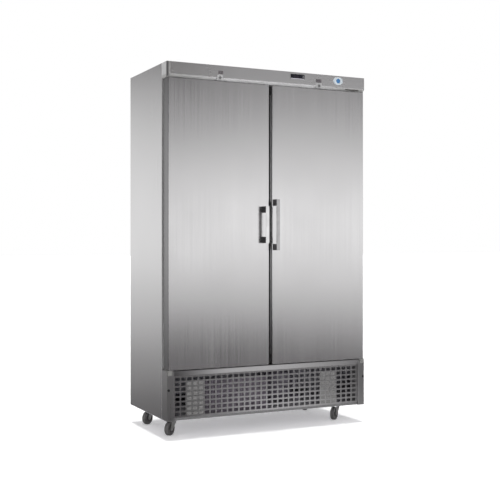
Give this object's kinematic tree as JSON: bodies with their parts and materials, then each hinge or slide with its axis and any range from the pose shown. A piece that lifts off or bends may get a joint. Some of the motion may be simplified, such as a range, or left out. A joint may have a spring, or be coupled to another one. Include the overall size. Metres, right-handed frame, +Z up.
{
  "type": "commercial refrigerator cabinet",
  "caption": "Upright stainless catering refrigerator with two swinging doors, a control panel above, a perforated machine base grille and swivel casters.",
  "frame": {"origin": "on the floor, under the middle of the outline", "axes": "+Z up, front towards -Y, +X to the right seen from the front"},
  "size_m": [1.25, 0.66, 2.045],
  "materials": {
    "steel": "brushed stainless steel",
    "zinc": "galvanised sheet",
    "dark": "dark grey plastic",
    "black": "black plastic",
    "blackmetal": "black painted steel",
    "liner": "satin sheet",
    "foam": "foam",
    "white": "white plastic",
    "rubber": "soft rubber",
    "wheel": "grey plastic",
    "glass": "smoked window",
    "chrome": "bright steel",
    "copper": "copper tube",
    "wire": "welded wire",
    "cast": "black enamel"
  },
  "bodies": {
    "cabinet": {"base_pan": "zinc", "base_post_left": "steel", "base_post_right": "steel", "grille_panel": "steel", "grille_screws": "blackmetal", "side_panel_left": "steel", "side_panel_right": "steel", "rear_panel": "zinc", "machine_cover": "zinc", "cable_gland": "black", "top_panel": "zinc", "machine_roof": "zinc", "insulation": "foam", "inner_liner": "liner", "front_frame": "dark", "mullion": "steel", "fascia": "steel", "controller_case": "black", "controller_window": "glass", "lock_housings": "chrome", "hinge_brackets": "chrome", "rack_uprights": "steel", "shelf_runners": "steel", "shelves_1": "wire", "shelves_2": "wire", "shelves_3": "wire", "shelves_4": "wire", "evaporator_cover": "white", "compressor": "cast", "condenser": "zinc", "condenser_shroud": "blackmetal", "drip_tray": "black", "refrigerant_pipes": "copper", "caster_plates": "zinc"},
    "door_left": {"door_skin_left": "steel", "door_core_left": "foam", "door_gasket_left": "rubber", "handle_blocks_left": "black", "handle_grip_left": "chrome"},
    "lock_left": {"lock_barrel_left": "blackmetal"},
    "door_right": {"door_skin_right": "steel", "door_core_right": "foam", "door_gasket_right": "rubber", "handle_blocks_right": "black", "handle_grip_right": "chrome"},
    "lock_right": {"lock_barrel_right": "blackmetal"},
    "key_up": {"controller_key_up": "dark"},
    "key_down": {"controller_key_down": "dark"},
    "evaporator_fan": {"evaporator_fan": "black"},
    "condenser_fan": {"condenser_fan": "blackmetal"},
    "swivel_front_left": {"caster_fork_front_left": "blackmetal"},
    "wheel_front_left": {"caster_wheel_front_left": "wheel"},
    "swivel_front_right": {"caster_fork_front_right": "blackmetal"},
    "wheel_front_right": {"caster_wheel_front_right": "wheel"},
    "swivel_rear_left": {"caster_fork_rear_left": "blackmetal"},
    "wheel_rear_left": {"caster_wheel_rear_left": "wheel"},
    "swivel_rear_right": {"caster_fork_rear_right": "blackmetal"},
    "wheel_rear_right": {"caster_wheel_rear_right": "wheel"},
    "pedal_left": {"brake_pedal_left": "black"},
    "pedal_right": {"brake_pedal_right": "black"}
  },
  "joints": [
    {"name": "door_left", "type": "hinge", "parent": "cabinet", "child": "door_left", "pos_m": [-0.608, -0.25, 1.168], "axis": [0, 0, -1], "range_deg": [0, 110]},
    {"name": "door_right", "type": "hinge", "parent": "cabinet", "child": "door_right", "pos_m": [0.608, -0.25, 1.168], "axis": [0, 0, 1], "range_deg": [0, 110]},
    {"name": "lock_left", "type": "hinge", "parent": "cabinet", "child": "lock_left", "pos_m": [-0.31425, -0.28, 1.976], "axis": [0, 1, 0], "range_deg": [0, 90]},
    {"name": "lock_right", "type": "hinge", "parent": "cabinet", "child": "lock_right", "pos_m": [0.31425, -0.28, 1.976], "axis": [0, -1, 0], "range_deg": [0, 90]},
    {"name": "key_up", "type": "slide", "parent": "cabinet", "child": "key_up", "axis": [0, 1, 0], "range_m": [0, 0.0008], "stiffness_N_per_m": 400},
    {"name": "key_down", "type": "slide", "parent": "cabinet", "child": "key_down", "axis": [0, 1, 0], "range_m": [0, 0.0008], "stiffness_N_per_m": 400},
    {"name": "evaporator_fan", "type": "hinge", "parent": "cabinet", "child": "evaporator_fan", "pos_m": [0, 0.061, 1.892], "axis": [0, 0, 1], "continuous": true},
    {"name": "condenser_fan", "type": "hinge", "parent": "cabinet", "child": "condenser_fan", "pos_m": [-0.19, -0.142, 0.2065], "axis": [0, 1, 0], "continuous": true},
    {"name": "swivel_front_left", "type": "hinge", "parent": "cabinet", "child": "swivel_front_left", "pos_m": [-0.53, -0.115, 0.0937], "axis": [0, 0, 1], "continuous": true},
    {"name": "wheel_front_left", "type": "hinge", "parent": "swivel_front_left", "child": "wheel_front_left", "pos_m": [-0.55427, -0.13263, 0.0375], "axis": [-0.5878, 0.809, 0], "continuous": true},
    {"name": "pedal_left", "type": "hinge", "parent": "swivel_front_left", "child": "pedal_left", "pos_m": [-0.51463, -0.10383, 0.0867], "axis": [-0.5878, 0.809, 0], "range_deg": [0, 12]},
    {"name": "swivel_front_right", "type": "hinge", "parent": "cabinet", "child": "swivel_front_right", "pos_m": [0.53, -0.115, 0.0937], "axis": [0, 0, 1], "continuous": true},
    {"name": "wheel_front_right", "type": "hinge", "parent": "swivel_front_right", "child": "wheel_front_right", "pos_m": [0.50573, -0.13263, 0.0375], "axis": [-0.5878, 0.809, 0], "continuous": true},
    {"name": "pedal_right", "type": "hinge", "parent": "swivel_front_right", "child": "pedal_right", "pos_m": [0.54537, -0.10383, 0.0867], "axis": [-0.5878, 0.809, 0], "range_deg": [0, 12]},
    {"name": "swivel_rear_left", "type": "hinge", "parent": "cabinet", "child": "swivel_rear_left", "pos_m": [-0.53, 0.24, 0.0937], "axis": [0, 0, 1], "continuous": true},
    {"name": "wheel_rear_left", "type": "hinge", "parent": "swivel_rear_left", "child": "wheel_rear_left", "pos_m": [-0.55544, 0.2241, 0.0375], "axis": [-0.5299, 0.848, 0], "continuous": true},
    {"name": "swivel_rear_right", "type": "hinge", "parent": "cabinet", "child": "swivel_rear_right", "pos_m": [0.53, 0.24, 0.0937], "axis": [0, 0, 1], "continuous": true},
    {"name": "wheel_rear_right", "type": "hinge", "parent": "swivel_rear_right", "child": "wheel_rear_right", "pos_m": [0.50456, 0.2241, 0.0375], "axis": [-0.5299, 0.848, 0], "continuous": true}
  ]
}
